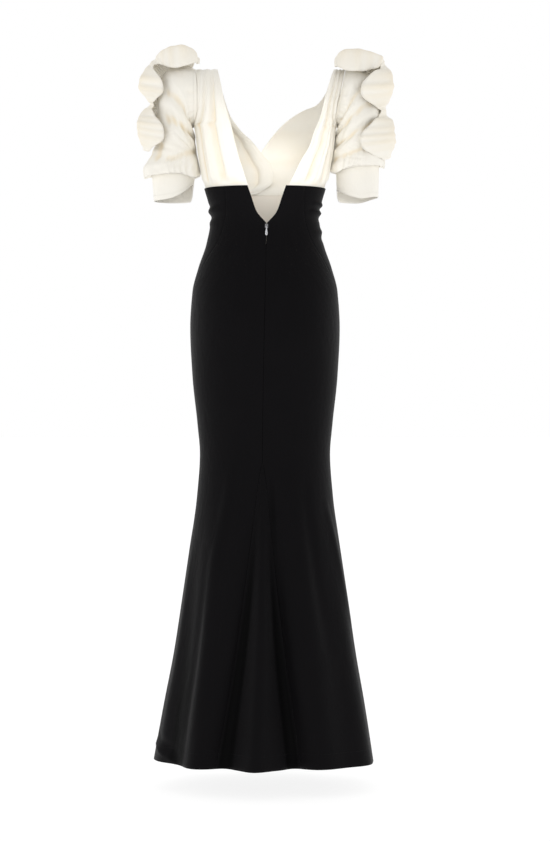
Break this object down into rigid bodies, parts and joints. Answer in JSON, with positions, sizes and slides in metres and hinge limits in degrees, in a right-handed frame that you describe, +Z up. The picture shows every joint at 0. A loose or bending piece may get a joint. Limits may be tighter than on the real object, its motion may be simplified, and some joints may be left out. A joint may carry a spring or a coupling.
{
  "type": "trumpet gown",
  "caption": "Floor-length trumpet gown: black high-waisted skirt with a notched back, godet and zip, ivory draped bodice, frilled puff sleeves.",
  "frame": {"origin": "midway between the two shoulder straps, at shoulder height, where the wearer's shoulders hold the gown", "axes": "+Z up, -Y the wearer's front, +Y the back with the zip, +X the wearer's left"},
  "size_m": [0.5495, 0.4286, 1.5229],
  "materials": {
    "black crepe": "matt crepe",
    "ivory taffeta": "soft sheen",
    "pale lining": "smooth",
    "zip metal": "satin"
  },
  "bodies": {
    "gown": {"front_panel": "black crepe", "back_panel_left": "black crepe", "back_panel_right": "black crepe", "side_panel_left": "black crepe", "side_panel_right": "black crepe", "godet": "black crepe", "front_lining": "pale lining", "back_bodice_left": "ivory taffeta", "back_bodice_right": "ivory taffeta", "front_bodice_left": "ivory taffeta", "front_bodice_right": "ivory taffeta", "sleeve_left": "ivory taffeta", "sleeve_right": "ivory taffeta", "cuff_left": "ivory taffeta", "cuff_right": "ivory taffeta", "frill_left": "ivory taffeta", "frill_right": "ivory taffeta", "zip_slider": "zip metal"},
    "zip_pull": {"zip_pull": "zip metal"}
  },
  "joints": [
    {"name": "zip_pull_hinge", "type": "hinge", "parent": "gown", "child": "zip_pull", "pos_m": [-0.00347, 0.08321, -0.3416], "axis": [1, 0, 0], "range_deg": [0, 150]}
  ]
}
